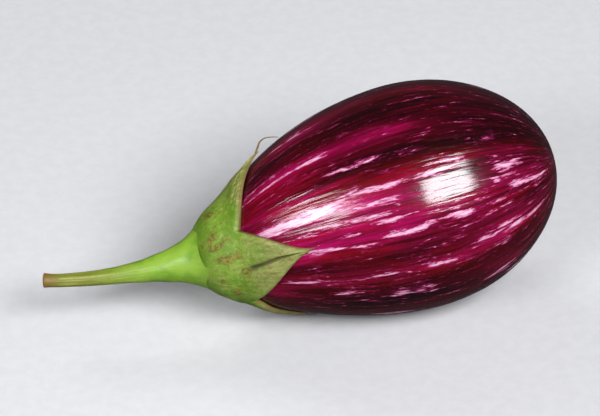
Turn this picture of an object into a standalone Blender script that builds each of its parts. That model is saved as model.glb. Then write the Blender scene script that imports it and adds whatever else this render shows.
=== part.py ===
"""A small striped eggplant lying on its side, with its calyx and its cut stem.

Metres, +Z up. The fruit's axis runs towards +X, where the blossom end is, and the stem points
to -X. The origin is the middle of the small flat spot that the fruit rests on.
"""

import math

import bmesh
import bpy
from mathutils import Matrix, Vector

# Fruit
FRUIT_LENGTH = 0.0965
FRUIT_RADIUS = 0.031
WIDEST_SHARE = 0.585  # how far along the fruit its widest station is
NECK_POWER = 1.65  # 2 makes the stem half an ellipse, less makes it more conical
BLOSSOM_POWER = 1.95
DROOP = 0.0005  # how far the crown hangs below the straight axis
SWAY = 0.0040  # how far the crown leans to -Y of it
BEND_POWER = 3.0
RIB_HEIGHT = 0.00025  # a shallow panel between two ribs faces down
RIBS = 5
REST_DEPTH = 0.0004  # how deep the flat spot cuts into the underside
GREEN_PULL = 0.0018  # how far the calyx and the stem draw the centre of mass towards them

# Calyx
GAP = 0.0003  # clearance between pieces that touch
CALYX_THICKNESS = 0.0015
TIP_THICKNESS = 0.0007
SEAT_RADIUS = 0.0098  # flat top that the stem stands on
SEAT_LIFT = 0.0012  # how far the seat's middle is above the crown's
SHOULDER_WIDTH = 0.0025  # from the seat's rim out to the rounded shoulder
SHOULDER_DROP = 0.0020  # from the seat down to the shoulder, towards the fruit
COLLAR_WIDTH = 0.0052  # from the seat's rim to the notches between the lobes
LOBE_TAPER = 2.0  # above 1 draws the lobes out into narrow tips
LIFT_POWER = 2.0
# Each lobe's length, the turns of the notch before it and of its tip in degrees from -Y upwards,
# and how far the tip stands off the fruit.
LOBES = (
    (0.0208, -31, 24, 0.0002),
    (0.0128, 55, 117, 0.0012),
    (0.0160, 127, 163, 0.0010),
    (0.0170, 196, 230, 0.0008),
    (0.0150, 262, 298, 0.0005),
)

# Stem
STEM_LENGTH = 0.0435
STEM_RADIUS = 0.0017
STEM_FOOT_MARGIN = 0.0003  # the foot is this much smaller than the seat
FLARE_RADIUS = 0.0056  # how much wider the long flare makes the foot
FLARE_LENGTH = 0.0130
FLARE_POWER = 1.2
ROOT_LENGTH = 0.0031  # of the short last flare down to the foot
END_RADIUS = 0.0019
END_LENGTH = 0.0030
STEM_RISE = 0.0036  # the cut end's height above the foot, across the fruit's axis
STEM_SIDE = 0.0035
EARLY_BEND = 0.4  # the share of that bend that starts at the foot; the rest comes near the end
EARLY_BEND_POWER = 1.5
LATE_BEND_POWER = 3.0

# Mesh
FRUIT_COLUMNS = 50
FRUIT_RINGS = 34
LOBE_COLUMNS = 10
CAP_ROWS = 4
LOBE_ROWS = 8
STEM_COLUMNS = 20
STEM_RINGS = 26
STEM_RING_POWER = 1.5  # above 1 crowds the rings at the foot
SMALL_STEP = 1e-4
WALK_STEP = math.radians(0.1)
BALANCE_STEPS = 400
UNDER = -math.pi / 2  # the turn of the underside


def fruit_point(phi, psi):
    """A point on the skin: phi runs from 0 at the crown to pi at the blossom end, psi turns about the axis."""
    cosine = math.cos(phi)
    widest = WIDEST_SHARE * FRUIT_LENGTH
    if cosine > 0:
        x = widest * (1 - cosine ** (2 / NECK_POWER))
    else:
        x = widest + (FRUIT_LENGTH - widest) * (-cosine) ** (2 / BLOSSOM_POWER)
    ribs = -RIB_HEIGHT * math.sin(phi) ** 2 * math.cos(RIBS * (psi - UNDER))
    radius = FRUIT_RADIUS * math.sin(phi) + ribs
    bend = max(0.0, 1 - x / widest) ** BEND_POWER
    return Vector((x, -radius * math.cos(psi) - SWAY * bend, radius * math.sin(psi) - DROOP * bend))


def fruit_normal(phi, psi):
    """The outward direction of the skin there."""
    phi = min(max(phi, SMALL_STEP), math.pi - SMALL_STEP)
    along = fruit_point(phi + SMALL_STEP, psi) - fruit_point(phi - SMALL_STEP, psi)
    around = fruit_point(phi, psi + SMALL_STEP) - fruit_point(phi, psi - SMALL_STEP)
    return along.cross(around).normalized()


def phi_after(phi, distance):
    """The phi that lies this far along the skin from phi, towards the blossom end."""
    here = fruit_point(phi, 0)
    while distance > 0:
        phi += WALK_STEP
        there = fruit_point(phi, 0)
        distance -= (there - here).length
        here = there
    return phi


def phi_at_radius(radius):
    return math.asin(radius / FRUIT_RADIUS)


def centre_of_mass():
    """Where the whole eggplant balances, from slices of the fruit and the pull of its green end."""
    volume = 0.0
    moment = Vector((0, 0, 0))
    before = fruit_point(0, 0).x
    for i in range(1, BALANCE_STEPS + 1):
        phi = math.pi * i / BALANCE_STEPS
        low = fruit_point(phi, UNDER)
        middle = (low + fruit_point(phi, UNDER + math.pi)) / 2
        slice_volume = math.sin(phi) ** 2 * (low.x - before)
        volume += slice_volume
        moment += slice_volume * middle
        before = low.x
    return moment / volume - Vector((GREEN_PULL, 0, 0))


def along_underside(phi):
    return fruit_point(phi + SMALL_STEP, UNDER) - fruit_point(phi - SMALL_STEP, UNDER)


def resting_frame():
    """The turn and shift that lay the fruit down, with its flat spot at the origin, under its weight."""
    weight = centre_of_mass()
    phi = math.pi / 2
    while (fruit_point(phi, UNDER) - weight).dot(along_underside(phi)) > 0:
        phi -= math.pi / BALANCE_STEPS
    along = along_underside(phi)
    turn = Matrix.Rotation(math.atan2(along.z, along.x), 4, "Y")
    lowest = turn @ fruit_point(phi, UNDER)
    return Matrix.Translation(Vector((0, 0, -REST_DEPTH)) - lowest) @ turn


def make_object(name, bm, material, frame):
    bmesh.ops.recalc_face_normals(bm, faces=bm.faces)
    if bm.calc_volume(signed=True) < 0:
        bmesh.ops.reverse_faces(bm, faces=bm.faces)
    mesh = bpy.data.meshes.new(name)
    bm.to_mesh(mesh)
    bm.free()
    mesh.shade_smooth()
    mesh.set_sharp_from_angle(angle=math.radians(40))
    mesh.materials.append(material)
    piece = bpy.data.objects.new(name, mesh)
    piece.parent = frame
    bpy.context.scene.collection.objects.link(piece)
    return piece


def make_material(name, colour, roughness):
    material = bpy.data.materials.new(name)
    material.use_nodes = True
    shader = material.node_tree.nodes["Principled BSDF"]
    shader.inputs["Base Color"].default_value = (*colour, 1)
    shader.inputs["Roughness"].default_value = roughness
    shader.inputs["Metallic"].default_value = 0
    return material


def bridge(bm, first, second):
    """Quads between two closed rings of vertices with the same count."""
    count = len(first)
    for i in range(count):
        j = (i + 1) % count
        bm.faces.new((first[i], first[j], second[j], second[i]))


def fan(bm, centre, ring):
    for i, corner in enumerate(ring):
        bm.faces.new((centre, corner, ring[(i + 1) % len(ring)]))


def make_fruit(frame, resting):
    bm = bmesh.new()
    rings = []
    for row in range(1, FRUIT_RINGS):
        phi = math.pi * row / FRUIT_RINGS
        turns = (math.tau * column / FRUIT_COLUMNS for column in range(FRUIT_COLUMNS))
        rings.append([bm.verts.new(fruit_point(phi, psi)) for psi in turns])
    for first, second in zip(rings, rings[1:]):
        bridge(bm, first, second)
    fan(bm, bm.verts.new(fruit_point(0, 0)), rings[0])
    fan(bm, bm.verts.new(fruit_point(math.pi, 0)), rings[-1])
    to_fruit = resting.inverted()
    cut = bmesh.ops.bisect_plane(
        bm,
        geom=bm.verts[:] + bm.edges[:] + bm.faces[:],
        plane_co=to_fruit.translation,
        plane_no=to_fruit.to_3x3() @ Vector((0, 0, -1)),
        clear_outer=True,
    )
    rim = [item for item in cut["geom_cut"] if isinstance(item, bmesh.types.BMEdge)]
    bmesh.ops.contextual_create(bm, geom=rim)
    return make_object("fruit", bm, make_material("skin", (0.20, 0.006, 0.055), 0.2), frame)


def seat_x():
    """The flat top of the calyx, which the stem stands on."""
    return fruit_point(0, 0).x - GAP - CALYX_THICKNESS


def collar_phi():
    return phi_at_radius(SEAT_RADIUS + COLLAR_WIDTH)


def over_fruit(phi, psi, height):
    return fruit_point(phi, psi) + fruit_normal(phi, psi) * height


def ring_point(x, radius, psi):
    """A point on a ring round the stem's foot."""
    crown = fruit_point(0, 0)
    height = crown.z + SEAT_LIFT + radius * math.sin(psi)
    return Vector((x, crown.y - radius * math.cos(psi), height))


def seat_point(radius, psi):
    return ring_point(seat_x(), radius, psi)


def shoulder_point(psi):
    return ring_point(seat_x() + SHOULDER_DROP, SEAT_RADIUS + SHOULDER_WIDTH, psi)


def lobe_turns(lobe):
    """The turns of one lobe's columns at its base, from notch to notch."""
    first = math.radians(LOBES[lobe][1])
    last = math.radians(LOBES[lobe + 1][1] if lobe + 1 < len(LOBES) else LOBES[0][1] + 360)
    return [first + (last - first) * column / LOBE_COLUMNS for column in range(LOBE_COLUMNS + 1)]


def cap_rings(bm):
    """The rings of the cap, under and over, from the middle to the notches between the lobes."""
    turns = [psi for lobe in range(len(LOBES)) for psi in lobe_turns(lobe)[:-1]]
    under = []
    over = [[bm.verts.new(seat_point(SEAT_RADIUS, psi)) for psi in turns]]
    over.append([bm.verts.new(shoulder_point(psi)) for psi in turns])
    for row in range(1, CAP_ROWS + 1):
        phi = collar_phi() * row / CAP_ROWS
        under.append([bm.verts.new(over_fruit(phi, psi, GAP)) for psi in turns])
    over.append([bm.verts.new(over_fruit(collar_phi(), psi, GAP + CALYX_THICKNESS)) for psi in turns])
    return under, over


def lobe_rows(bm, lobe, base_height, tip_height, first_row):
    """One lobe's rows of vertices on one side, from its base to the row before its tip, and its tip."""
    length, _, tip_turn, lift = LOBES[lobe]
    tip_phi = phi_after(collar_phi(), length)
    tip_psi = math.radians(tip_turn)
    rows = [first_row]
    for row in range(1, LOBE_ROWS):
        share = row / LOBE_ROWS
        phi = collar_phi() + (tip_phi - collar_phi()) * share
        width = (1 - share) ** LOBE_TAPER
        height = base_height + (tip_height - base_height) * share + lift * share**LIFT_POWER
        turns = [tip_psi + (psi - tip_psi) * width for psi in lobe_turns(lobe)]
        rows.append([bm.verts.new(over_fruit(phi, psi, height)) for psi in turns])
    tip = bm.verts.new(over_fruit(tip_phi, tip_psi, tip_height + lift))
    return rows, tip


def grid(bm, rows, tip):
    for first, second in zip(rows, rows[1:]):
        for i in range(len(first) - 1):
            bm.faces.new((first[i], first[i + 1], second[i + 1], second[i]))
    last = rows[-1]
    for i in range(len(last) - 1):
        bm.faces.new((last[i], last[i + 1], tip))


def join_edges(bm, under_rows, under_tip, over_rows, over_tip):
    """The narrow strip round a lobe's edge."""
    for side in (0, -1):
        under = [row[side] for row in under_rows] + [under_tip]
        over = [row[side] for row in over_rows] + [over_tip]
        for i in range(len(under) - 1):
            bm.faces.new((under[i], under[i + 1], over[i + 1], over[i]))


def make_calyx(frame):
    bm = bmesh.new()
    under, over = cap_rings(bm)
    for rings in (under, over):
        for first, second in zip(rings, rings[1:]):
            bridge(bm, first, second)
    fan(bm, bm.verts.new(over_fruit(0, 0, GAP)), under[0])
    fan(bm, bm.verts.new(seat_point(0, 0)), over[0])
    count = len(LOBES) * LOBE_COLUMNS
    for lobe in range(len(LOBES)):
        columns = [(lobe * LOBE_COLUMNS + i) % count for i in range(LOBE_COLUMNS + 1)]
        under_row = [under[-1][i] for i in columns]
        over_row = [over[-1][i] for i in columns]
        under_rows, under_tip = lobe_rows(bm, lobe, GAP, GAP, under_row)
        over_rows, over_tip = lobe_rows(bm, lobe, GAP + CALYX_THICKNESS, GAP + TIP_THICKNESS, over_row)
        grid(bm, under_rows, under_tip)
        grid(bm, over_rows, over_tip)
        join_edges(bm, under_rows, under_tip, over_rows, over_tip)
    return make_object("calyx", bm, make_material("sepals", (0.22, 0.30, 0.07), 0.5), frame)


def stem_centre(distance):
    """The stem's middle line: straight at the foot, then curving up and aside."""
    share = distance / STEM_LENGTH
    bend = EARLY_BEND * share**EARLY_BEND_POWER + (1 - EARLY_BEND) * share**LATE_BEND_POWER
    foot = seat_point(0, 0)
    return foot + Vector((-GAP - distance, STEM_SIDE * bend, STEM_RISE * bend))


def stem_radius(distance):
    flare = FLARE_RADIUS * math.exp(-((distance / FLARE_LENGTH) ** FLARE_POWER))
    root_radius = SEAT_RADIUS - STEM_FOOT_MARGIN - STEM_RADIUS - FLARE_RADIUS
    root = root_radius * math.exp(-distance / ROOT_LENGTH)
    to_end = max(0.0, 1 - (STEM_LENGTH - distance) / END_LENGTH)
    return STEM_RADIUS + flare + root + (END_RADIUS - STEM_RADIUS) * to_end**2


def stem_ring(bm, distance):
    ahead = stem_centre(distance + SMALL_STEP)
    along = (ahead - stem_centre(distance)).normalized()
    side = Vector((0, 0, 1)).cross(along).normalized()
    up = along.cross(side)
    centre = stem_centre(distance)
    radius = stem_radius(distance)
    turns = (math.tau * column / STEM_COLUMNS for column in range(STEM_COLUMNS))
    return [bm.verts.new(centre + radius * (side * math.cos(a) + up * math.sin(a))) for a in turns]


def make_stem(frame):
    bm = bmesh.new()
    shares = [(row / STEM_RINGS) ** STEM_RING_POWER for row in range(STEM_RINGS + 1)]
    rings = [stem_ring(bm, STEM_LENGTH * share) for share in shares]
    for first, second in zip(rings, rings[1:]):
        bridge(bm, first, second)
    fan(bm, bm.verts.new(stem_centre(0)), rings[0])
    fan(bm, bm.verts.new(stem_centre(STEM_LENGTH)), rings[-1])
    return make_object("stem", bm, make_material("stem", (0.30, 0.42, 0.07), 0.5), frame)


def main():
    for old in list(bpy.data.objects):
        bpy.data.objects.remove(old)
    resting = resting_frame()
    frame = bpy.data.objects.new("eggplant", None)
    frame.location = resting.translation
    frame.rotation_euler = resting.to_euler()
    bpy.context.scene.collection.objects.link(frame)
    make_fruit(frame, resting)
    make_calyx(frame)
    make_stem(frame)


main()
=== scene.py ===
"""The looks of a small striped eggplant lying on its side: skin, calyx, stem, floor, lights and camera."""

import math

import bmesh
import bpy
import numpy as np
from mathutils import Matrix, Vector


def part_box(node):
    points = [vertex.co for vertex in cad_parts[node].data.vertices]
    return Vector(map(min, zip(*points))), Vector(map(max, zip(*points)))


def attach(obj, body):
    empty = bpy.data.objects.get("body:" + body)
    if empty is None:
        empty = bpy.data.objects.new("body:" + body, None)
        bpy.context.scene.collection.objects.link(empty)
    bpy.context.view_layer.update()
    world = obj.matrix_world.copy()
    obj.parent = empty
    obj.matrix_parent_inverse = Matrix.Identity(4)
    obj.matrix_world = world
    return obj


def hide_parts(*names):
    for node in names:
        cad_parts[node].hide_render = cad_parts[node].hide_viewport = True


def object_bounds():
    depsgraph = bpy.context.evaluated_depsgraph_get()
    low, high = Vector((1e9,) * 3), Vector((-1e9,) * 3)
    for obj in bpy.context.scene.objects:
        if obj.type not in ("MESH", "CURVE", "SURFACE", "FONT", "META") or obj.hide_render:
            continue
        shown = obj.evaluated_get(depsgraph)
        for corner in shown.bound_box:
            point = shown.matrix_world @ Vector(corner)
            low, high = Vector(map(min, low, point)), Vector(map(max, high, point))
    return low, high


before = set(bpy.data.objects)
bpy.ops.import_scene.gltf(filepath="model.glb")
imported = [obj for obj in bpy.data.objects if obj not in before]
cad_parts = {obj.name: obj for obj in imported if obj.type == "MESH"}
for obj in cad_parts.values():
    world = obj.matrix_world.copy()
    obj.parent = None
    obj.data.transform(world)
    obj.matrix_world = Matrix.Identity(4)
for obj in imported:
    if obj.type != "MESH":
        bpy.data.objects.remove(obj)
cad_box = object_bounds()

MM = 0.001

# ---------------------------------------------------------------- sizes, as in the CAD source

FRUIT_LENGTH = 96.5 * MM
FRUIT_RADIUS = 31.0 * MM
WIDEST_SHARE = 0.585
NECK_POWER = 1.65
BLOSSOM_POWER = 1.95
DROOP = 0.5 * MM
SWAY = 4.0 * MM
BEND_POWER = 3.0
RIB_HEIGHT = 0.25 * MM
RIBS = 5
UNDER = -math.pi / 2  # the turn of the fruit's underside
GREEN_PULL = 1.8 * MM  # how far the calyx and stem pull the centre of mass towards the crown
REST_SPAN = 0.6  # how far from the middle phi the fruit can touch the floor

GAP = 0.3 * MM
CALYX_THICKNESS = 1.5 * MM
SEAT_RADIUS = 9.8 * MM
SEAT_LIFT = 1.2 * MM
COLLAR_WIDTH = 5.2 * MM
LOBE_TAPER = 2.0
LIFT_POWER = 2.0
# Each lobe's length, the turns of the notch before it and of its tip in degrees from -Y upwards,
# and how far the tip stands off the fruit.
LOBES = (
    (20.8 * MM, -31, 24, 0.2 * MM),
    (12.8 * MM, 55, 117, 1.2 * MM),
    (16.0 * MM, 127, 163, 1.0 * MM),
    (17.0 * MM, 196, 230, 0.8 * MM),
    (15.0 * MM, 262, 298, 0.5 * MM),
)

STEM_LENGTH = 43.5 * MM
STEM_RADIUS = 1.7 * MM
STEM_FOOT_MARGIN = 0.3 * MM
FLARE_RADIUS = 5.6 * MM
FLARE_LENGTH = 13.0 * MM
FLARE_POWER = 1.2
ROOT_LENGTH = 3.1 * MM
END_RADIUS = 1.9 * MM
END_LENGTH = 3.0 * MM
STEM_RISE = 3.6 * MM
STEM_SIDE = 3.5 * MM
EARLY_BEND = 0.4
EARLY_BEND_POWER = 1.5
LATE_BEND_POWER = 3.0

# ---------------------------------------------------------------- the fruit's surface


def smooth(low, high, value):
    """0 below low, 1 above high, and a smooth step between them."""
    t = np.clip((value - low) / (high - low), 0, 1)
    return t * t * (3 - 2 * t)


def bump(value, middle, width):
    """1 at the middle, fading evenly to both sides; at width it is down to about a third."""
    return np.exp(-(((value - middle) / width) ** 2))


def unit(vectors):
    return vectors / np.linalg.norm(vectors, axis=-1, keepdims=True)


def hermite(t):
    """A cubic's weights for its start, its tangent there, its end and its tangent there."""
    return 2 * t**3 - 3 * t**2 + 1, t**3 - 2 * t**2 + t, -2 * t**3 + 3 * t**2, t**3 - t**2


def turn_between(a, b):
    """The signed turn from b to a, from -pi to pi."""
    return (a - b + math.pi) % math.tau - math.pi


def turn_bump(psi, turn, width):
    """A bump around a turn; the turn and its half width are in degrees."""
    return bump(turn_between(psi, np.radians(turn)), 0, np.radians(width))


def station(phi):
    """How far along the axis phi lies: 0 is the crown and pi the blossom end."""
    cosine = np.cos(phi)
    widest = WIDEST_SHARE * FRUIT_LENGTH
    neck = widest * (1 - np.abs(cosine) ** (2 / NECK_POWER))
    blossom = widest + (FRUIT_LENGTH - widest) * np.abs(cosine) ** (2 / BLOSSOM_POWER)
    return np.where(cosine > 0, neck, blossom)


def bend(x):
    return np.clip(1 - x / (WIDEST_SHARE * FRUIT_LENGTH), 0, None) ** BEND_POWER


def even_skin(phi, psi):
    """Points on the smooth skin, in the fruit's own frame; psi turns about the axis from -Y upwards."""
    x = station(phi)
    ribs = -RIB_HEIGHT * np.sin(phi) ** 2 * np.cos(RIBS * (psi - UNDER))
    radius = FRUIT_RADIUS * np.sin(phi) + ribs
    y = -radius * np.cos(psi) - SWAY * bend(x)
    z = radius * np.sin(psi) - DROOP * bend(x)
    return np.stack(np.broadcast_arrays(x, y, z), axis=-1)


def skin_normal(phi, psi):
    step = 1e-4
    phi = np.clip(phi, step, math.pi - step)
    along = even_skin(phi + step, psi) - even_skin(phi - step, psi)
    around = even_skin(phi, psi + step) - even_skin(phi, psi - step)
    return unit(np.cross(along, around))


def over_skin(phi, psi, height):
    """Points that stand off the smooth skin by height."""
    return even_skin(phi, psi) + skin_normal(phi, psi) * np.asarray(height)[..., None]


def resting_pitch():
    """The turn about Y that lays the fruit down where its weight rests it."""
    phi = np.linspace(0, math.pi, 401)
    low = even_skin(phi, UNDER)
    middle = (low + even_skin(phi, UNDER + math.pi)) / 2
    slices = np.sin(phi[1:]) ** 2 * np.diff(low[:, 0])
    weight = (slices[:, None] * middle[1:]).sum(0) / slices.sum() - (GREEN_PULL, 0, 0)
    along = np.gradient(low, axis=0)
    lean = ((low - weight) * along).sum(1)
    near_middle = np.abs(phi - math.pi / 2) <= REST_SPAN
    rest = np.argmin(np.where(near_middle, np.abs(lean), np.inf))
    return math.atan2(along[rest, 2], along[rest, 0])


PITCH = resting_pitch()
TURN = np.array(
    (
        (math.cos(PITCH), 0, math.sin(PITCH)),
        (0, 1, 0),
        (-math.sin(PITCH), 0, math.cos(PITCH)),
    )
)


def fruit_shift():
    """Where the CAD fruit's box puts the fruit's own frame."""
    phi = np.linspace(0, math.pi, 400)[:, None]
    psi = np.linspace(0, math.tau, 400)[None, :]
    turned = (even_skin(phi, psi) @ TURN.T).reshape(-1, 3)
    low, high = (np.array(corner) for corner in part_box("fruit"))
    shift = (low + high - turned.min(0) - turned.max(0)) / 2
    shift[2] = high[2] - turned[:, 2].max()
    return shift


SHIFT = fruit_shift()


def placed(points):
    """Points from the fruit's own frame to the model's frame."""
    return points @ TURN.T + SHIFT


def phi_table():
    """Distance along the skin from the crown, as two lists to read both ways."""
    phi = np.linspace(0, math.pi, 2001)
    line = even_skin(phi, 0.0)
    steps = np.linalg.norm(np.diff(line, axis=0), axis=1)
    return phi, np.concatenate([[0], np.cumsum(steps)])


PHI, REACH = phi_table()


def reach_of(phi):
    return np.interp(phi, PHI, REACH)


def phi_of(reach):
    return np.interp(reach, REACH, PHI)


COLLAR_PHI = math.asin((SEAT_RADIUS + COLLAR_WIDTH) / FRUIT_RADIUS)
COLLAR_REACH = float(reach_of(COLLAR_PHI))

# ---------------------------------------------------------------- meshes

SAME_PLACE = 0.00005 * MM  # corners nearer than this are one


def random_waves(seed, count, low, high):
    """A smooth, seeded unevenness of two coordinates, about 1 high, with waves from low to high."""
    rng = np.random.default_rng(seed)
    terms = []
    for _ in range(count):
        around = rng.integers(low, high + 1)
        rate = rng.uniform(low, high)
        terms.append((around, rate, rng.uniform(0, math.tau, 2)))

    def value(turn, along):
        total = 0
        for around, rate, (first, second) in terms:
            total = total + np.cos(around * turn + first) * np.cos(rate * along + second)
        return total / math.sqrt(count)

    return value


def close_up(mesh):
    """Joins the corners that lie on one another, points the faces outwards and shades them smooth."""
    bm = bmesh.new()
    bm.from_mesh(mesh)
    bmesh.ops.remove_doubles(bm, verts=bm.verts, dist=SAME_PLACE)
    bmesh.ops.recalc_face_normals(bm, faces=bm.faces)
    bm.to_mesh(mesh)
    bm.free()
    mesh.shade_smooth()


def make_piece(name, points, faces, material, cad_node, fields):
    """Makes a piece in the model's frame that stands for one CAD node. fields are its points' values."""
    mesh = bpy.data.meshes.new(name)
    mesh.from_pydata(points.tolist(), [], faces)
    for field, values in fields.items():
        values = np.asarray(values, np.float32)
        kind = "FLOAT_VECTOR" if values.ndim == 2 else "FLOAT"
        attribute = mesh.attributes.new(field, kind, "POINT")
        attribute.data.foreach_set("vector" if values.ndim == 2 else "value", values.ravel())
    mesh.materials.append(material)
    close_up(mesh)
    piece = bpy.data.objects.new(name, mesh)
    bpy.context.scene.collection.objects.link(piece)
    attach(piece, "root")
    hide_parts(cad_node)


def fibre_field(along, radius, psi):
    """The way along and the turn as a place on a straight cylinder, in millimetres."""
    return np.stack([along / MM, radius / MM * np.cos(psi), radius / MM * np.sin(psi)], -1)


def tube_faces(rows, columns, start=0):
    """Quads over rows of closed rings, with the rings' corners numbered from start."""
    faces = []
    for row in range(rows - 1):
        for column in range(columns):
            after = (column + 1) % columns
            a = start + row * columns
            b = a + columns
            faces.append((a + column, a + after, b + after, b + column))
    return faces


def fan_faces(centre, ring):
    """Triangles from the centre to each side of a closed ring."""
    return [(centre, corner, ring[(i + 1) % len(ring)]) for i, corner in enumerate(ring)]


# ---------------------------------------------------------------- node helpers


class Nodes:
    """Short names for the shader nodes that the materials below are made of."""

    def __init__(self, name):
        self.material = bpy.data.materials.new(name)
        self.material.use_nodes = True
        self.tree = self.material.node_tree
        self.shader = self.tree.nodes["Principled BSDF"]

    def new(self, kind, inputs=(), **settings):
        node = self.tree.nodes.new(kind)
        for key, value in settings.items():
            setattr(node, key, value)
        for key, value in dict(inputs).items():
            self.put(value, node.inputs[key])
        return node

    def put(self, value, socket):
        if isinstance(value, bpy.types.NodeSocket):
            self.tree.links.new(value, socket)
        else:
            socket.default_value = value

    def field(self, name):
        node = self.new("ShaderNodeAttribute", attribute_name=name)
        return node.outputs["Fac"]

    def vector_field(self, name):
        node = self.new("ShaderNodeAttribute", attribute_name=name)
        return node.outputs["Vector"]

    def place(self):
        return self.new("ShaderNodeTexCoord").outputs["Object"]

    def math(self, operation, *values):
        return self.new("ShaderNodeMath", enumerate(values), operation=operation).outputs[0]

    def vector_math(self, operation, *values):
        return self.new("ShaderNodeVectorMath", enumerate(values), operation=operation).outputs

    def add(self, *values):
        total = values[0]
        for value in values[1:]:
            total = self.math("ADD", total, value)
        return total

    def times(self, *values):
        total = values[0]
        for value in values[1:]:
            total = self.math("MULTIPLY", total, value)
        return total

    def swing(self, value, amount, middle=0.5):
        """amount times how far value is above the middle."""
        return self.times(self.math("SUBTRACT", value, middle), amount)

    def step(self, value, low, high, out_low=0.0, out_high=1.0):
        """A smooth step from out_low to out_high as value goes from low to high."""
        inputs = {"Value": value, "From Min": low, "From Max": high, "To Min": out_low, "To Max": out_high}
        node = self.new("ShaderNodeMapRange", inputs, interpolation_type="SMOOTHSTEP")
        return node.outputs[0]

    def noise(self, vector, scale, detail=3.0, rough=0.55, distortion=0.0):
        inputs = {"Vector": vector, "Scale": scale, "Detail": detail, "Roughness": rough}
        inputs["Distortion"] = distortion
        return self.new("ShaderNodeTexNoise", inputs).outputs["Fac"]

    def long_noise(self, vector, along, across, detail, rough, distortion=0.0):
        """Noise with one scale along the vector's first axis and another across it."""
        inputs = {"Vector": vector, "Scale": (along, across, across)}
        stretched = self.new("ShaderNodeMapping", inputs).outputs[0]
        return self.noise(stretched, 1.0, detail, rough, distortion)

    def cells(self, vector, scale):
        """The distance to the nearest of many points strewn in space."""
        return self.new("ShaderNodeTexVoronoi", {"Vector": vector, "Scale": scale}).outputs["Distance"]

    def mix(self, share, first, second):
        """The first colour where share is 0 and the second where it is 1."""
        node = self.new("ShaderNodeMix", data_type="RGBA")
        self.put(share, node.inputs[0])
        for colour, socket in ((first, node.inputs[6]), (second, node.inputs[7])):
            self.put((*colour, 1) if isinstance(colour, tuple) else colour, socket)
        return node.outputs[2]

    def ramp(self, value, stops):
        """Colours that follow one another as value grows, each with where it is reached."""
        node = self.new("ShaderNodeValToRGB", {0: value})
        elements = node.color_ramp.elements
        while len(elements) < len(stops):
            elements.new(0.5)
        for element, (position, colour) in zip(elements, stops):
            element.position = position
            element.color = (*colour, 1)
        return node.outputs[0]

    def relief(self, height, distance, strength=1.0):
        inputs = {"Height": height, "Distance": distance, "Strength": strength}
        return self.new("ShaderNodeBump", inputs).outputs[0]

    def finish(self, colour, roughness, normal, **fixed):
        """Puts the values on the shader and gives the material. fixed are the shader's other inputs."""
        self.put(colour, self.shader.inputs["Base Color"])
        self.put(roughness, self.shader.inputs["Roughness"])
        self.put(normal, self.shader.inputs["Normal"])
        for key, value in fixed.items():
            self.shader.inputs[key.replace("_", " ")].default_value = value
        return self.material


# ---------------------------------------------------------------- fruit

FRUIT_ROWS = 260
FRUIT_COLUMNS = 360
SWELL_HEIGHT = 0.13 * MM  # the skin's broad unevenness
RIPPLE_HEIGHT = 0.018 * MM  # and its fine one
SCAR_TURN = math.radians(200)
SCAR_TILT = 4.0 * MM  # how far the blossom scar sits off the fruit's very end

# Pale streaks: turn and half width in degrees, where each starts and ends between the crown, 0, and
# the blossom end, 1, and its strength.
STREAKS = (
    (43.5, 3.2, 0.19, 0.37, 1.00),
    (47.0, 1.5, 0.34, 0.62, 0.80),
    (39.5, 1.2, 0.33, 0.48, 0.62),
    (33.0, 1.7, 0.27, 0.46, 0.72),
    (29.5, 1.0, 0.38, 0.50, 0.58),
    (22.0, 2.3, 0.42, 0.53, 0.90),
    (19.5, 1.6, 0.27, 0.42, 0.62),
    (23.5, 1.8, 0.54, 0.63, 0.76),
    (19.0, 1.1, 0.63, 0.72, 0.62),
    (27.5, 2.5, 0.70, 0.86, 0.80),
    (42.0, 2.4, 0.67, 0.75, 0.80),
    (34.0, 1.5, 0.66, 0.73, 0.70),
    (51.0, 1.0, 0.52, 0.64, 0.55),
    (4.5, 1.7, 0.59, 0.68, 0.85),
    (6.5, 2.0, 0.65, 0.72, 0.82),
    (3.5, 1.8, 0.69, 0.80, 0.80),
    (0.0, 1.1, 0.47, 0.58, 0.72),
    (-1.5, 1.0, 0.24, 0.44, 0.55),
    (-16.0, 2.2, 0.40, 0.50, 0.76),
    (-12.5, 1.1, 0.30, 0.40, 0.50),
    (-28.0, 2.6, 0.60, 0.70, 0.52),
    (75.5, 1.8, 0.18, 0.36, 0.80),
    (80.5, 1.2, 0.19, 0.30, 0.70),
    (62.5, 1.2, 0.34, 0.45, 0.55),
    (104.0, 2.6, 0.26, 0.36, 0.46),
)
HIDDEN_STREAKS = 44
HIDDEN_TURNS = (112, 325)  # the side that faces away, in degrees, where streaks are strewn at random
WANDER = math.radians(0.9)  # how far a streak strays from its turn

# Brighter patches of skin: turn and half width in degrees, middle and half length along the fruit as
# above, and how much brighter they are.
PATCHES = (
    (41, 12, 0.30, 0.17, 0.60),
    (25, 12, 0.45, 0.20, 0.50),
    (33, 13, 0.72, 0.16, 0.26),
    (-1, 5, 0.42, 0.22, 0.34),
    (-12, 10, 0.18, 0.07, 0.48),
    (14, 9, 0.24, 0.07, 0.36),
    (6, 8, 0.70, 0.12, 0.22),
    (76, 8, 0.26, 0.11, 0.42),
    (60, 9, 0.22, 0.09, 0.34),
    (74, 7, 0.46, 0.10, 0.22),
    (101, 7, 0.31, 0.07, 0.34),
    (-26, 9, 0.66, 0.10, 0.24),
    (92, 12, 0.46, 0.30, -0.16),
    (12, 6, 0.52, 0.14, -0.10),
    (-28, 10, 0.40, 0.16, -0.10),
    (140, 14, 0.34, 0.20, 0.36),
    (176, 12, 0.62, 0.22, 0.34),
    (212, 14, 0.36, 0.26, 0.46),
    (246, 13, 0.66, 0.20, 0.34),
    (282, 12, 0.30, 0.18, 0.42),
)


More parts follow.
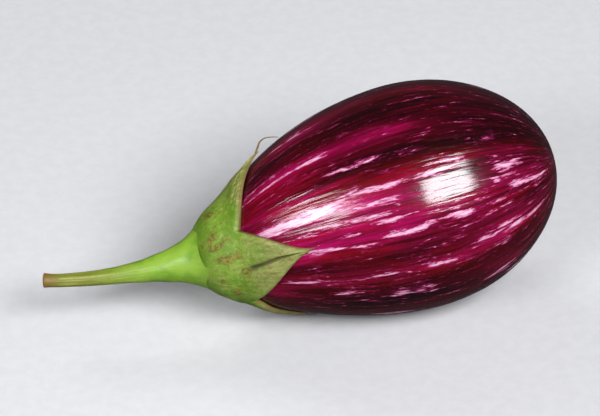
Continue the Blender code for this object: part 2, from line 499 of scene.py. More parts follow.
def hidden_streaks():
    """The streaks of the far side, strewn over its turns."""
    rng = np.random.default_rng(7)
    low, high = HIDDEN_TURNS
    streaks = []
    for i in range(HIDDEN_STREAKS):
        turn = low + (high - low) * (i + rng.uniform(0, 1)) / HIDDEN_STREAKS
        start = rng.uniform(0.18, 0.74)
        length = rng.uniform(0.06, 0.24)
        streaks.append((turn, rng.uniform(0.9, 2.8), start, start + length, rng.uniform(0.5, 0.92)))
    return tuple(streaks)


def streak_field(share, psi):
    """How strongly a pale streak runs here."""
    total = np.zeros(psi.shape)
    widening = np.clip(1 + 0.5 * random_waves(14, 6, 2, 9)(psi * 2, share * 2), 0.5, 1.6)
    psi = psi + WANDER * random_waves(13, 8, 3, 11)(psi, share * 3)
    for turn, width, start, end, strength in STREAKS + hidden_streaks():
        across = turn_bump(psi, turn, width * widening)
        ends = smooth(start - 0.02, start + 0.025, share) * (1 - smooth(end - 0.05, end + 0.02, share))
        total = np.maximum(total, strength * across * ends)
    return total


def tone_field(share, psi):
    """How far the skin goes from near-black maroon, 0, to bright magenta, 1."""
    tone = 0.26 - 0.09 * smooth(0.5, 0.95, share)
    for turn, width, middle, length, amount in PATCHES:
        tone = tone + amount * turn_bump(psi, turn, width) * bump(share, middle, length)
    return tone


def strewn_field(share, psi):
    """How many short pale dashes there are, from 0 to 1."""
    front = 0.5 * turn_bump(psi, 20, 38)
    back = 0.4 * turn_bump(psi, 218, 60)
    towards_blossom = 0.25 * smooth(0.55, 0.8, share)
    amount = 0.30 + front + back + towards_blossom
    return np.clip(amount, 0, 1) * smooth(0.12, 0.2, share)


def skin_fields(phi, psi):
    """What the skin's material reads at each point. The scar's field is flat, with the scar at 0."""
    reach = reach_of(phi)
    share = phi / math.pi
    left = REACH[-1] - reach
    scar = np.stack([left * np.cos(psi), left * np.sin(psi), 0 * left], 1)
    scar -= SCAR_TILT * np.array((math.cos(SCAR_TURN), math.sin(SCAR_TURN), 0))
    return {
        "grain": fibre_field(reach, FRUIT_RADIUS, psi),
        "share": share,
        "streak": streak_field(share, psi),
        "tone": tone_field(share, psi),
        "strewn": strewn_field(share, psi),
        "scar": scar / MM,
    }


def make_fruit():
    phi = np.linspace(0, math.pi, FRUIT_ROWS + 1)[1:-1, None]
    psi = (np.arange(FRUIT_COLUMNS) * math.tau / FRUIT_COLUMNS)[None, :]
    swell = SWELL_HEIGHT * random_waves(11, 14, 1, 7)(psi, phi * 1.3)
    ripple = RIPPLE_HEIGHT * random_waves(12, 18, 9, 26)(psi, phi * 0.35)
    points = over_skin(phi, psi, np.sin(phi) ** 1.5 * (swell + ripple)).reshape(-1, 3)
    ends = even_skin(np.array([0.0, math.pi]), 0.0)
    points = placed(np.concatenate([points, ends]))
    points[:, 2] = np.maximum(points[:, 2], 0)
    rows = FRUIT_ROWS - 1
    last = (rows - 1) * FRUIT_COLUMNS
    faces = tube_faces(rows, FRUIT_COLUMNS)
    faces += fan_faces(len(points) - 2, range(FRUIT_COLUMNS))
    faces += fan_faces(len(points) - 1, range(last, last + FRUIT_COLUMNS))
    all_phi = np.concatenate([np.repeat(phi[:, 0], FRUIT_COLUMNS), [0, math.pi]])
    all_psi = np.concatenate([np.tile(psi[0], rows), [0, 0]])
    fields = skin_fields(all_phi, all_psi)
    make_piece("fruit_skin", points, faces, skin_material(), "fruit", fields)


# Colours from dark to bright skin, each with the brightness at which it is reached.
SKIN_TONES = (
    (0.05, (0.008, 0.0002, 0.0008)),
    (0.35, (0.032, 0.0003, 0.0032)),
    (0.60, (0.088, 0.0005, 0.0130)),
    (0.85, (0.185, 0.0010, 0.0420)),
    (1.10, (0.260, 0.0020, 0.0800)),
)
RED_TONES = (
    (0.05, (0.010, 0.0002, 0.0004)),
    (0.35, (0.038, 0.0002, 0.0014)),
    (0.60, (0.095, 0.0003, 0.0048)),
    (0.85, (0.180, 0.0006, 0.0190)),
    (1.10, (0.240, 0.0015, 0.0520)),
)
# Here and in the other materials, a noise runs between the two colours of a pair.
HALO_COLOUR = (0.28, 0.010, 0.085)
DASH_COLOURS = ((0.29, 0.070, 0.155), (0.46, 0.27, 0.36))
RAY_COLOUR = (0.80, 0.35, 0.50)
RING_COLOUR = (0.80, 0.62, 0.46)
SCAR_COLOURS = ((0.22, 0.10, 0.035), (0.62, 0.37, 0.17))
SCAR_STRETCH = (0.8, 1.25, 1.0)  # makes the scar a little longer one way than the other


def banded_skin(m, grain):
    """Lengthwise bands from near-black maroon to magenta, redder in some places than in others."""
    bands = m.long_noise(grain, 0.014, 0.11, 4.0, 0.6, 0.4)
    fibres = m.long_noise(grain, 0.05, 0.85, 4.0, 0.6)
    reds = m.long_noise(grain, 0.03, 0.14, 3.0, 0.6)
    depth = m.add(m.field("tone"), m.swing(bands, 1.5), m.swing(fibres, 0.9))
    return m.mix(m.step(reds, 0.42, 0.62), m.ramp(depth, SKIN_TONES), m.ramp(depth, RED_TONES))


def dashed_skin(m, grain, flesh):
    """Ragged pale dashes, gathered along the streaks and strewn elsewhere. It also gives their mask."""
    coarse = m.long_noise(grain, 0.13, 0.85, 3.0, 0.6, 0.5)
    ragged = m.long_noise(grain, 0.55, 2.3, 3.0, 0.6, 0.3)
    strewn = m.field("strewn")
    pull = m.add(m.times(m.field("streak"), 0.39), m.times(strewn, 0.055))
    value = m.add(coarse, pull, m.swing(ragged, 0.45))
    halo = m.times(m.step(value, 0.58, 0.74), 0.4)
    pale = m.times(m.step(value, 0.70, 0.77), m.step(strewn, 0.0, 0.2))
    tint = m.mix(m.step(value, 0.72, 0.92), *DASH_COLOURS)
    return m.mix(pale, m.mix(halo, flesh, HALO_COLOUR), tint), pale


def scarred_skin(m, skin):
    """The blossom scar: corky middle, cream ring, short rays. It also gives the cork's mask and relief."""
    scar = m.vector_field("scar")
    spread = m.vector_math("MULTIPLY", scar, SCAR_STRETCH)["Vector"]
    direction = m.vector_math("NORMALIZE", spread)["Vector"]
    wobble = m.noise(scar, 0.6, 3.0, 0.6)
    worn = m.add(m.vector_math("LENGTH", spread)["Value"], m.swing(wobble, 1.6))
    rays = m.noise(direction, 4.5, 4.0, 0.7)
    ray_reach = m.add(worn, m.swing(rays, -26.0, 0.62))
    with_rays = m.mix(m.times(m.step(ray_reach, 9.0, 4.5), 0.75), skin, RAY_COLOUR)
    with_ring = m.mix(m.step(worn, 4.6, 3.6), with_rays, RING_COLOUR)
    crumbs = m.noise(scar, 1.9, 4.0, 0.7)
    cork = m.mix(m.step(crumbs, 0.4, 0.6), *SCAR_COLOURS)
    corky = m.step(worn, 3.4, 2.2)
    colour = m.mix(m.step(worn, 2.6, 1.9), with_ring, cork)
    return colour, corky, m.times(corky, m.swing(crumbs, 1.2, 0.6))


def skin_material():
    m = Nodes("eggplant_skin")
    grain = m.vector_field("grain")
    dashed, pale = dashed_skin(m, grain, banded_skin(m, grain))
    colour, corky, cork_relief = scarred_skin(m, dashed)
    waves = m.long_noise(grain, 0.06, 0.60, 3.0, 0.5)
    pores = m.step(m.cells(grain, 0.75), 0.16, 0.05)
    skin_relief = m.add(m.times(waves, 0.9), m.times(pores, -0.05), m.times(pale, 0.05))
    # The grain's lines run together at the blossom end, so the relief fades before it.
    off_pole = m.step(m.field("share"), 0.985, 0.93)
    height = m.add(m.times(off_pole, skin_relief), cork_relief)
    uneven = m.add(m.times(m.noise(grain, 0.5, 3.0), 0.10), m.times(pale, 0.06))
    roughness = m.add(0.115, uneven, m.times(corky, 0.45))
    return m.finish(colour, roughness, m.relief(height, 0.25 * MM), IOR=1.47)


# ---------------------------------------------------------------- calyx

LOBE_COLUMNS = 44
LOBE_ROWS = 64
CAP_ROWS = 20
UNDER_HEIGHT = 0.15 * MM  # how far the underside stays off the skin
EDGE_ROUNDING = 1.2 * MM
LEAST_THICKNESS = 0.3 * MM
TIP_THINNING = 0.42  # the share of its thickness that a lobe loses up to its tip
SIDE_CURL = 0.35 * MM  # how far a lobe's sides lift
LOBE_SWAY = math.radians(2.2)
KEEL_HEIGHT = 0.50 * MM  # the ridge along a lobe's middle
KEEL_WIDTH = 0.34  # as a share of the lobe's half width, like CREASE_WIDTH
LUMP_HEIGHT = 0.12 * MM
WRINKLE_HEIGHT = 0.09 * MM
CAP_LUMP_HEIGHT = 0.10 * MM
CAP_CLIMB = 1.7 * MM  # how far up the stem the cap's first ring is
CAP_SINK = 0.25 * MM  # and how far under the stem's skin
CAP_OUTWARD = 0.80  # which way the cap leaves the stem: this much outwards
CAP_ALONG = 0.60  # and this much towards the fruit
CAP_START_PULL = 1.30  # how strongly it keeps that way, and the skin's way at its other end
CAP_END_PULL = 0.9
CALYX_FIBRE_RADIUS = 16 * MM
CREASE_DEPTH = 0.85 * MM
CREASE_WIDTH = 0.085
CREASES = (1.0, 0.35, 0.5, 0.3, 0.6)  # how much of that depth the fold along each lobe has
CREASE_SIDES = (0.10, 0.1, -0.15, 0.05, 0.1)  # and where it runs, from -1 to 1 across the lobe
# The dry thread on the second lobe's tip: way on from the tip, turn in degrees and height off the fruit.
HAIR = (
    (-1.2 * MM, 117, 1.55 * MM),
    (0.3 * MM, 118, 2.3 * MM),
    (1.6 * MM, 120, 2.9 * MM),
    (3.2 * MM, 121, 2.7 * MM),
    (4.8 * MM, 120, 1.7 * MM),
    (6.0 * MM, 118, 0.8 * MM),
)
HAIR_RADII = (0.30 * MM, 0.28 * MM, 0.22 * MM, 0.17 * MM, 0.13 * MM, 0.08 * MM)
HAIR_SIDES = 8
HAIR_ROWS = 28
HAIR_LOBE = 1  # counted from 0
# Corky marks on the cap: turn and half width in degrees, and reach and half length from the crown.
CORK_MARKS = (
    (61, 11, 9.7 * MM, 1.9 * MM),
    (46, 8, 10.2 * MM, 2.1 * MM),
    (31, 6, 12.6 * MM, 3.8 * MM),
    (14, 5, 16.5 * MM, 1.6 * MM),
    (0, 5, 10.0 * MM, 1.8 * MM),
    (-14, 6, 13.0 * MM, 1.2 * MM),
    (96, 8, 10.4 * MM, 1.4 * MM),
    (131, 8, 9.4 * MM, 1.8 * MM),
    (200, 9, 10.2 * MM, 1.7 * MM),
    (252, 8, 11.4 * MM, 1.8 * MM),
    (300, 8, 9.6 * MM, 1.6 * MM),
)


def stem_foot():
    """The middle of the stem's foot, in the fruit's own frame."""
    crown = even_skin(np.array(0.0), 0.0)
    return crown + np.array((-GAP - CALYX_THICKNESS, 0, SEAT_LIFT))


def outward(psi):
    """Square to the fruit's axis, towards psi."""
    return np.stack([0 * psi, -np.cos(psi), np.sin(psi)], -1)


def lobe_turns(lobe):
    """The turns of the points along a lobe's base, from the notch before it to the next one."""
    first = math.radians(LOBES[lobe][1])
    last = math.radians(LOBES[lobe + 1][1] if lobe + 1 < len(LOBES) else LOBES[0][1] + 360)
    return np.linspace(first, last, LOBE_COLUMNS + 1)


def lobe_grid(lobe):
    """Turn, reach and side, from -1 to 1, of one lobe's points, and their share of its length."""
    length, _, tip_turn, _ = LOBES[lobe]
    share = np.linspace(0, 1, LOBE_ROWS + 1)[:, None]
    tip = math.radians(tip_turn)
    base = lobe_turns(lobe)[None, :]
    narrow = (1 - share) ** LOBE_TAPER * 0.98 + 0.02 * (1 - share)
    side = np.linspace(-1, 1, LOBE_COLUMNS + 1)[None, :] + 0 * share
    sway = LOBE_SWAY * np.sin(share * 5 + lobe * 2.1) * share * (1 - share)
    psi = tip + (base - tip) * narrow + sway * (1 + 0.5 * side)
    reach = COLLAR_REACH + length * share + 0 * base
    return psi, reach, side, share + 0 * base


def cap_grid():
    """Turn and share of the cap's points, from the stem's foot out to the notches."""
    psi = np.concatenate([lobe_turns(lobe)[:-1] for lobe in range(len(LOBES))])[None, :]
    share = np.linspace(0, 1, CAP_ROWS + 1)[:, None]
    return psi + 0 * share, share + 0 * psi


def cap_over(psi, share):
    """The cap's outside: a full shoulder from the stem's foot to the base of the lobes."""
    foot = stem_foot() - np.array((GAP + CAP_CLIMB, 0, 0))
    start = outward(psi) * (stem_radius(CAP_CLIMB) - CAP_SINK) + foot
    collar = np.full(psi.shape, COLLAR_PHI)
    height = np.full(psi.shape, GAP + CALYX_THICKNESS)
    end = over_skin(collar, psi, height)
    down_skin = unit(over_skin(collar + 0.01, psi, height) - end)
    length = np.linalg.norm(end - start, axis=-1, keepdims=True)
    first = (outward(psi) * CAP_OUTWARD + np.array((CAP_ALONG, 0, 0))) * length * CAP_START_PULL
    last = down_skin * length * CAP_END_PULL
    a, b, c, d = hermite(share[..., None])
    return a * start + b * first + c * end + d * last


def nearest(points, others):
    """Each point's distance to the nearest of the others."""
    blocks = np.array_split(points, len(points) // 4000 + 1)  # one block at a time fits in memory
    gaps = [np.linalg.norm(block[:, None] - others[None], axis=2).min(1) for block in blocks]
    return np.concatenate(gaps)


def edge_distance(psi, reach, outline):
    """How far the points are from the lobes' outline, over the skin."""
    ground = even_skin(phi_of(reach), psi)
    return nearest(ground.reshape(-1, 3), outline).reshape(psi.shape)


def rounded(gap):
    """The share of the full thickness at this distance from the edge."""
    near = np.clip(gap / EDGE_ROUNDING, 0, 1)
    return np.sqrt(1 - (1 - near) ** 2)


def cork_field(psi, reach):
    """How corky the calyx is here, from 0 to 1."""
    total = np.zeros(psi.shape)
    for turn, width, middle, length in CORK_MARKS:
        total = np.maximum(total, turn_bump(psi, turn, width) * bump(reach, middle, length))
    return total


def lobe_relief(lobe, psi, reach, side, share):
    """The thickness of a lobe before its edge is rounded, and how much of a crease there is."""
    thick = CALYX_THICKNESS * (1 - TIP_THINNING * share)
    keel = KEEL_HEIGHT * bump(side, 0, KEEL_WIDTH) * (1 - share) ** 0.5
    lumps = LUMP_HEIGHT * random_waves(31 + lobe, 10, 1, 5)(psi * 3, reach / MM * 0.16)
    wrinkles = WRINKLE_HEIGHT * random_waves(41 + lobe, 12, 2, 7)(side * 4, share * 2.2)
    ends = smooth(-0.10, 0.10, share) * (1 - smooth(0.55, 0.95, share))
    crease = CREASES[lobe] * bump(side, CREASE_SIDES[lobe], CREASE_WIDTH) * ends
    relief = keel + lumps + wrinkles - CREASE_DEPTH * crease
    return thick + relief * smooth(0.0, 0.18, share), crease


class CalyxMesh:
    """Gathers the calyx's points, faces and fields."""

    def __init__(self):
        self.points = []
        self.faces = []
        self.fields = {"edge": [], "share": [], "crease": [], "cork": [], "fibre": []}

    def store(self, points, psi, reach, edge, share, crease):
        """Adds points with what their fields are worked out from, and gives the first one's number."""
        start = len(self.points)
        self.points.extend(points.reshape(-1, 3))
        self.fields["edge"].extend(np.ravel(edge) / MM)
        self.fields["share"].extend(np.ravel(share))
        self.fields["crease"].extend(np.ravel(crease))
        self.fields["cork"].extend(np.ravel(cork_field(psi, reach)))
        self.fields["fibre"].extend(fibre_field(reach, CALYX_FIBRE_RADIUS, psi).reshape(-1, 3))
        return start

    def grid(self, rows, flip):
        """Quads between each row of corner numbers and the next, turned over if flip is set."""
        for near, far in zip(rows, rows[1:]):
            for i in range(len(near) - 1):
                face = (near[i], near[i + 1], far[i + 1], far[i])
                self.faces.append(tuple(reversed(face)) if flip else face)


def add_cap(calyx, outline):
    """Adds the cap, and gives the corner numbers of its last rings outside and inside."""
    psi, share = cap_grid()
    columns = psi.shape[1]
    reach = COLLAR_REACH * (0.35 + 0.65 * share)
    edge = edge_distance(psi, reach, outline)
    over = cap_over(psi, share)
    inner = over_skin(COLLAR_PHI * (0.25 + 0.75 * share), psi, 0 * psi + UNDER_HEIGHT)
    full = np.where(share > 0.5, rounded(edge), 1.0)[..., None]
    lumps = CAP_LUMP_HEIGHT * random_waves(51, 12, 2, 9)(psi, share * 1.6) * np.sin(share * math.pi)
    over = inner + (over - inner) * full + outward(psi) * lumps[..., None]
    starts = [calyx.store(points, psi, reach, edge, 0 * share, 0 * share) for points in (over, inner)]
    around = [*range(columns), 0]
    for start, flip in zip(starts, (True, False)):
        rows = [[start + row * columns + i for i in around] for row in range(CAP_ROWS + 1)]
        calyx.grid(rows, flip)
    calyx.grid([[start + i for i in around] for start in starts], False)
    last = CAP_ROWS * columns
    return [[start + last + i for i in range(columns)] for start in starts]


def add_lobe(calyx, lobe, grid, outline, cap_ends):
    """Adds a lobe's outside and underside, which meet at its edge and start at the cap's last rings."""
    psi, reach, side, share = grid
    phi = phi_of(reach)
    floor = UNDER_HEIGHT + LOBES[lobe][3] * share**LIFT_POWER
    edge = edge_distance(psi, reach, outline)
    thick, crease = lobe_relief(lobe, psi, reach, side, share)
    thick = np.maximum(thick, LEAST_THICKNESS) + (GAP - UNDER_HEIGHT) * (1 - share)
    curl = SIDE_CURL * np.abs(side) ** 3 * smooth(0.1, 0.4, share) * (1 - share)
    under = over_skin(phi, psi, floor + curl)
    over = over_skin(phi, psi, floor + curl + thick * rounded(edge))
    for rim in ((slice(None), 0), (slice(None), -1), (-1, slice(None))):
        over[rim] = under[rim]
    width = LOBE_COLUMNS + 1
    base = [(lobe * LOBE_COLUMNS + i) % len(cap_ends[0]) for i in range(width)]
    for points, cap_end, flip in ((over, cap_ends[0], True), (under, cap_ends[1], False)):
        start = calyx.store(points[1:], psi[1:], reach[1:], edge[1:], share[1:], crease[1:])
        rows = [[cap_end[i] for i in base]]
        rows += [[start + row * width + i for i in range(width)] for row in range(LOBE_ROWS)]
        calyx.grid(rows, flip)


def add_hair(calyx):
    """Adds the thin dry thread that the second lobe's tip ends in."""
    steps = np.linspace(0, len(HAIR) - 1, HAIR_ROWS)
    along, turn, height = (smooth_through(values, steps) for values in zip(*HAIR))
    radius = np.interp(steps, range(len(HAIR)), HAIR_RADII)
    reach = COLLAR_REACH + LOBES[HAIR_LOBE][0] + along
    centre = over_skin(phi_of(reach), np.radians(turn), height)
    ahead = unit(np.gradient(centre, axis=0))
    side = unit(np.cross(ahead, (0.0, 1.0, 0.0)))
    up = np.cross(side, ahead)
    angle = (np.arange(HAIR_SIDES) * math.tau / HAIR_SIDES)[None, :, None]
    ring = side[:, None, :] * np.cos(angle) + up[:, None, :] * np.sin(angle)
    points = centre[:, None, :] + ring * radius[:, None, None]
    psi = np.broadcast_to(np.radians(turn)[:, None], points.shape[:2])
    reach = np.broadcast_to(reach[:, None], points.shape[:2])
    zero = 0 * reach
    start = calyx.store(points, psi, reach, zero, zero + 1, zero)
    calyx.faces += tube_faces(HAIR_ROWS, HAIR_SIDES, start)
    last = start + (HAIR_ROWS - 1) * HAIR_SIDES
    calyx.faces.append(tuple(range(start, start + HAIR_SIDES)))
    calyx.faces.append(tuple(reversed(range(last, last + HAIR_SIDES))))


def smooth_through(values, steps):
    """A smooth curve through the values, which lie at steps 0, 1, 2 and so on, by cubic pieces."""
    values = np.asarray(values, float)
    slopes = np.gradient(values)
    i = np.clip(steps.astype(int), 0, len(values) - 2)
    a, b, c, d = hermite(steps - i)
    return a * values[i] + b * slopes[i] + c * values[i + 1] + d * slopes[i + 1]


def make_calyx():
    calyx = CalyxMesh()
    grids = [lobe_grid(lobe) for lobe in range(len(LOBES))]
    sides = [(psi[:, i], reach[:, i]) for psi, reach, _, _ in grids for i in (0, -1)]
    outline = np.concatenate([even_skin(phi_of(reach), psi) for psi, reach in sides])
    cap_ends = add_cap(calyx, outline)
    for lobe, grid in enumerate(grids):
        add_lobe(calyx, lobe, grid, outline, cap_ends)
    add_hair(calyx)
    fields = {name: np.array(values) for name, values in calyx.fields.items()}
    points = placed(np.array(calyx.points))
    make_piece("calyx_sepals", points, calyx.faces, calyx_material(), "calyx", fields)


FRESH_GREEN = ((0.080, 0.155, 0.008), (0.135, 0.225, 0.020))
GREY_GREEN = ((0.115, 0.135, 0.028), (0.195, 0.20, 0.058))
BROWN_SPECK = (0.105, 0.075, 0.022)
PALE_SPECK = (0.25, 0.29, 0.09)
MARGIN_BROWN = (0.120, 0.072, 0.024)
# Painted shade for the lobes' folds, which also stands for a dark crack along each fold.
CREASE_PAINTED_SHADE = (0.026, 0.020, 0.005)
DRY_TIP = (0.10, 0.062, 0.022)
CALYX_CORK = ((0.060, 0.045, 0.005), (0.165, 0.135, 0.016))


def calyx_material():
    m = Nodes("eggplant_calyx")
    fibre = m.vector_field("fibre")
    share = m.field("share")
    place = m.place()
    fine = m.noise(place, 1000.0, 4.0, 0.65)
    broad = m.noise(place, 170.0, 3.0, 0.55)
    stains = m.noise(place, 300.0, 5.0, 0.7)
    veins = m.long_noise(fibre, 0.10, 1.0, 4.0, 0.6)
    green = m.mix(m.step(broad, 0.35, 0.65), *FRESH_GREEN)
    grey = m.mix(m.step(veins, 0.35, 0.65), *GREY_GREEN)
    fade = m.add(share, m.swing(broad, 0.8))
    body = m.mix(m.step(fade, -0.05, 0.32), green, grey)

    # Specks start a little way from the crown, which rise measures in millimetres.
    rise = m.new("ShaderNodeSeparateXYZ", {0: fibre}).outputs[0]
    marked = m.step(rise, 6.5, 10.0)
    speckled = m.mix(m.times(m.step(fine, 0.54, 0.62), marked, 0.6), body, BROWN_SPECK)
    pale = m.mix(m.times(m.step(fine, 0.45, 0.35), marked, 0.35), speckled, PALE_SPECK)

    # Brown edges, creases darkened with painted shade (the fold's shade, which also stands for a dark
    # crack in it), dry tips and corky marks.
    margin = m.step(m.add(m.field("edge"), m.swing(veins, 0.8)), 0.65, 0.15)
    edged = m.mix(m.times(margin, 0.75), pale, MARGIN_BROWN)
    # Painted shade: the colour darkens along each fold, where its shade falls, and also stands for a dark
    # crack there.
    crease_painted_shade = m.step(m.add(m.field("crease"), m.swing(veins, 1.2)), 0.1, 1.0)
    with_crease_painted_shade = m.mix(m.times(crease_painted_shade, 0.9), edged, CREASE_PAINTED_SHADE)
    tipped = m.mix(m.times(m.step(share, 0.80, 0.97), 0.8), with_crease_painted_shade, DRY_TIP)
    corky = m.step(m.add(m.times(m.field("cork"), 1.15), m.swing(stains, 3.2)), 0.30, 0.95)
    cork = m.mix(m.step(fine, 0.42, 0.58), *CALYX_CORK)
    colour = m.mix(m.times(corky, 0.85), tipped, cork)

    height = m.add(m.times(veins, 0.6), m.times(fine, 0.18), m.times(broad, 0.4), m.times(corky, 0.25))
    roughness = m.add(0.40, m.times(fine, 0.15), m.times(margin, 0.12), m.times(corky, 0.2))
    return m.finish(colour, roughness, m.relief(height, 0.4 * MM), IOR=1.36)


# ---------------------------------------------------------------- stem

STEM_ROWS = 150
STEM_COLUMNS = 72
STEM_SKIRT = 1.0 * MM  # how far the foot's rim reaches into the cap
STEM_CROWDING = 1.25  # above 1, the rows lie closer together at the foot
RIB_SHARE = 0.05  # the height of the rib that runs on from each lobe, as a share of the radius
RIB_WIDTH = math.radians(20)
RIB_FADE = 9 * MM
STEM_UNEVENNESS = 0.022
STEM_FIBRE_RADIUS = 5 * MM
CUT_SLANT = 0.35 * MM
CUT_TURN = 0.8
CUT_RIM = 0.12 * MM  # how far the cut's rim stands up
CUT_HOLLOW = 0.25 * MM  # and how far its middle lies back


def stem_centre(distance):
    """The stem's middle line, at distances from its foot, in the fruit's own frame."""
    share = np.clip(distance, 0, None) / STEM_LENGTH
    curve = EARLY_BEND * share**EARLY_BEND_POWER + (1 - EARLY_BEND) * share**LATE_BEND_POWER
    offset = np.stack([-GAP - distance, STEM_SIDE * curve, STEM_RISE * curve], -1)
    return stem_foot() + offset


def stem_radius(distance):
    distance = np.clip(distance, 0, None)
    flare = FLARE_RADIUS * np.exp(-((distance / FLARE_LENGTH) ** FLARE_POWER))
    root_radius = SEAT_RADIUS - STEM_FOOT_MARGIN - STEM_RADIUS - FLARE_RADIUS
    root = root_radius * np.exp(-distance / ROOT_LENGTH)
    to_end = np.clip(1 - (STEM_LENGTH - distance) / END_LENGTH, 0, None)
    return STEM_RADIUS + flare + root + (END_RADIUS - STEM_RADIUS) * to_end**2


def stem_side(turn, distance):
    """The stem's points between its foot and its cut, its middle line and that line's direction."""
    centre = stem_centre(distance[:, 0])
    ahead = unit(np.gradient(centre, axis=0))
    side = unit(np.cross((0.0, 0.0, 1.0), ahead))
    up = np.cross(ahead, side)
    # turn is measured like the fruit's own turn, from -Y upwards
    direction = np.cos(turn)[..., None] * side[:, None, :] + np.sin(turn)[..., None] * up[:, None, :]
    ribs = np.zeros(turn.shape)
    for lobe in range(len(LOBES)):
        ribs = ribs + bump(turn_between(turn, np.mean(lobe_turns(lobe))), 0, RIB_WIDTH)
    foot_share = np.exp(-np.clip(distance, 0, None) / RIB_FADE)
    uneven = STEM_UNEVENNESS * random_waves(21, 10, 1, 5)(turn, distance / MM * 0.22)
    radius = stem_radius(distance) * (1 + RIB_SHARE * foot_share * (ribs - 0.5) + uneven)
    return centre[:, None, :] + direction * radius[..., None], centre, ahead


def make_stem():
    span = np.linspace(0, 1, STEM_ROWS)
    distance = (-STEM_SKIRT + (STEM_LENGTH + STEM_SKIRT) * span**STEM_CROWDING)[:, None]
    turn = (np.arange(STEM_COLUMNS) * math.tau / STEM_COLUMNS)[None, :]
    points, centre, ahead = stem_side(turn, distance)
    points[-1] += ahead[-1] * CUT_SLANT * np.cos(turn[0] - CUT_TURN)[:, None]
    tip = centre[-1] - ahead[-1] * CUT_HOLLOW
    rim = points[-1] * 0.90 + tip * 0.10 + ahead[-1] * CUT_RIM
    inner = points[-1] * 0.35 + tip * 0.65
    points = np.concatenate([points.reshape(-1, 3), rim, inner, [tip, centre[0]]])
    rows = STEM_ROWS + 2
    last = (rows - 1) * STEM_COLUMNS
    faces = tube_faces(rows, STEM_COLUMNS)
    faces += fan_faces(len(points) - 2, range(last, last + STEM_COLUMNS))
    faces += fan_faces(len(points) - 1, range(STEM_COLUMNS))

    on_cut = 2 * STEM_COLUMNS + 1  # the rim's, the inner ring's and the tip's points
    spread = np.repeat(distance[:, 0], STEM_COLUMNS)
    along = np.concatenate([spread, np.full(on_cut, STEM_LENGTH), [0]])
    turns = np.concatenate([np.tile(turn[0], rows), [0, 0]])
    fields = {
        "along": along / MM,
        "cut": np.concatenate([0 * spread, np.ones(on_cut), [0]]),
        "fibre": fibre_field(along, STEM_FIBRE_RADIUS, turns),
    }
    make_piece("stem_stalk", placed(points), faces, stem_material(), "stem", fields)


STEM_GREEN = ((0.085, 0.185, 0.008), (0.150, 0.265, 0.022))
STEM_OLIVE = ((0.080, 0.100, 0.008), (0.185, 0.185, 0.032))
STEM_LINE = (0.26, 0.32, 0.07)
STEM_SPECK = (0.12, 0.085, 0.015)
FOOT_RING = (0.16, 0.17, 0.02)
END_BROWN = (0.125, 0.075, 0.012)
CUT_BROWN = ((0.12, 0.065, 0.02), (0.28, 0.18, 0.06))


def stem_material():
    m = Nodes("eggplant_stem")
    along = m.field("along")
    cut = m.field("cut")
    place = m.place()
    lines = m.long_noise(m.vector_field("fibre"), 0.06, 0.9, 4.0, 0.6)
    fine = m.noise(place, 1100.0, 4.0, 0.6)
    broad = m.noise(place, 140.0, 3.0, 0.5)
    flare = m.mix(m.step(broad, 0.35, 0.65), *STEM_GREEN)
    thin = m.mix(m.step(lines, 0.35, 0.65), *STEM_OLIVE)
    body = m.mix(m.step(m.add(along, m.times(lines, 10.0)), 16.0, 40.0), flare, thin)
    lined = m.mix(m.times(m.step(lines, 0.5, 0.7), 0.25), body, STEM_LINE)
    specks = m.times(m.step(fine, 0.56, 0.68), m.step(along, 8.0, 30.0, 0.2, 0.6))
    speckled = m.mix(specks, lined, STEM_SPECK)
    ring = m.step(m.add(along, m.times(m.noise(place, 300.0, 4.0, 0.6), 3.0)), 2.4, 0.9)
    ringed = m.mix(m.times(ring, 0.5), speckled, FOOT_RING)
    browned = m.mix(m.step(m.add(along, m.times(lines, 4.0)), 40.5, 45.0), ringed, END_BROWN)
    face = m.mix(m.step(fine, 0.4, 0.6), *CUT_BROWN)
    colour = m.mix(cut, browned, face)
    height = m.add(m.times(lines, 0.7), m.times(fine, 0.15), m.times(broad, 0.3))
    roughness = m.add(0.36, m.times(fine, 0.12), m.times(cut, 0.3))
    normal = m.relief(height, 0.3 * MM)
    return m.finish(colour, roughness, normal, IOR=1.40, Coat_Weight=0.10, Coat_Roughness=0.22)


# ---------------------------------------------------------------- stage

VIEW_AZIMUTH = math.radians(-11.9)
VIEW_ELEVATION = math.radians(37)
CAMERA_DISTANCE = 1.1
SENSOR_WIDTH = 36  # in millimetres, as Blender reads it
FRAME_WIDTH = 162 * MM  # what the frame takes in across the object
LIGHT_DISTANCE = 1.1
LIGHT_COLOUR = (0.965, 0.97, 1.0)
# Each light's name, azimuth and elevation in degrees, width and height in metres, power in watts, and
# whether it shows in mirror reflections.
LIGHTS = (
    ("softbox_right", 24, 44, (0.62, 0.44), 25, True),
    ("softbox_left", -48, 34, (0.42, 0.30), 8, True),
    ("fill_back", 205, 38, (0.60, 0.42), 7, False),
)
FLOOR_HALF = 4.0
FLOOR_GREYS = ((0.39, 0.39, 0.395), (0.41, 0.41, 0.415))
WORLD_COLOUR = (0.055, 0.055, 0.060)


def toward(azimuth, elevation):
    """The direction from the object to something seen at that azimuth, 0 at -Y, and elevation."""
    level = math.cos(elevation)
    return Vector((math.sin(azimuth) * level, -math.cos(azimuth) * level, math.sin(elevation)))


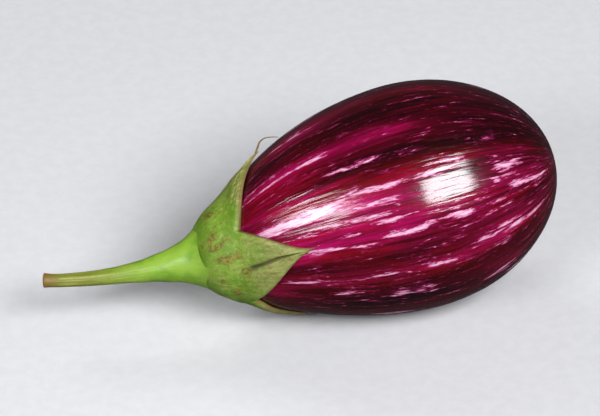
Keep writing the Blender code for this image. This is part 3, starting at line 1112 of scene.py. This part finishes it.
def aim(item, place, target):
    """Puts a camera or a light in its place, turned towards the target."""
    item.location = place
    item.rotation_euler = (target - place).to_track_quat("-Z", "Y").to_euler()
    bpy.context.scene.collection.objects.link(item)


def make_camera(target):
    data = bpy.data.cameras.new("camera")
    data.sensor_width = SENSOR_WIDTH
    data.lens = SENSOR_WIDTH * CAMERA_DISTANCE / FRAME_WIDTH
    camera = bpy.data.objects.new("camera", data)
    aim(camera, target + toward(VIEW_AZIMUTH, VIEW_ELEVATION) * CAMERA_DISTANCE, target)
    bpy.context.scene.camera = camera


def make_light(target, name, azimuth, elevation, size, power, mirrored):
    data = bpy.data.lights.new(name, "AREA")
    data.shape = "RECTANGLE"
    data.size, data.size_y = size
    data.energy = power
    data.color = LIGHT_COLOUR
    light = bpy.data.objects.new(name, data)
    light.visible_glossy = mirrored
    aim(light, target + toward(math.radians(azimuth), math.radians(elevation)) * LIGHT_DISTANCE, target)


def make_floor():
    """A pale floor. It is left out of mirror reflections, as it would turn the skin's rims grey."""
    corners = [(x * FLOOR_HALF, y * FLOOR_HALF, 0) for x, y in ((-1, -1), (1, -1), (1, 1), (-1, 1))]
    mesh = bpy.data.meshes.new("floor")
    mesh.from_pydata(corners, [], [(0, 1, 2, 3)])
    m = Nodes("pale_floor")
    grain = m.noise(m.place(), 300.0)
    colour = m.mix(m.step(grain, 0.3, 0.7), *FLOOR_GREYS)
    mesh.materials.append(m.finish(colour, 0.85, m.relief(grain, 0.05 * MM, 0.2)))
    floor = bpy.data.objects.new("floor", mesh)
    bpy.context.scene.collection.objects.link(floor)
    floor.visible_glossy = False


def make_world():
    world = bpy.data.worlds.new("studio")
    world.use_nodes = True
    background = world.node_tree.nodes["Background"]
    background.inputs["Color"].default_value = (*WORLD_COLOUR, 1)
    bpy.context.scene.world = world


def main():
    make_fruit()
    make_calyx()
    make_stem()
    low, high = (Vector(corner) for corner in cad_box)
    target = (low + high) / 2
    make_camera(target)
    make_floor()
    make_world()
    for light in LIGHTS:
        make_light(target, *light)
    bpy.context.scene.view_settings.view_transform = "Standard"


main()
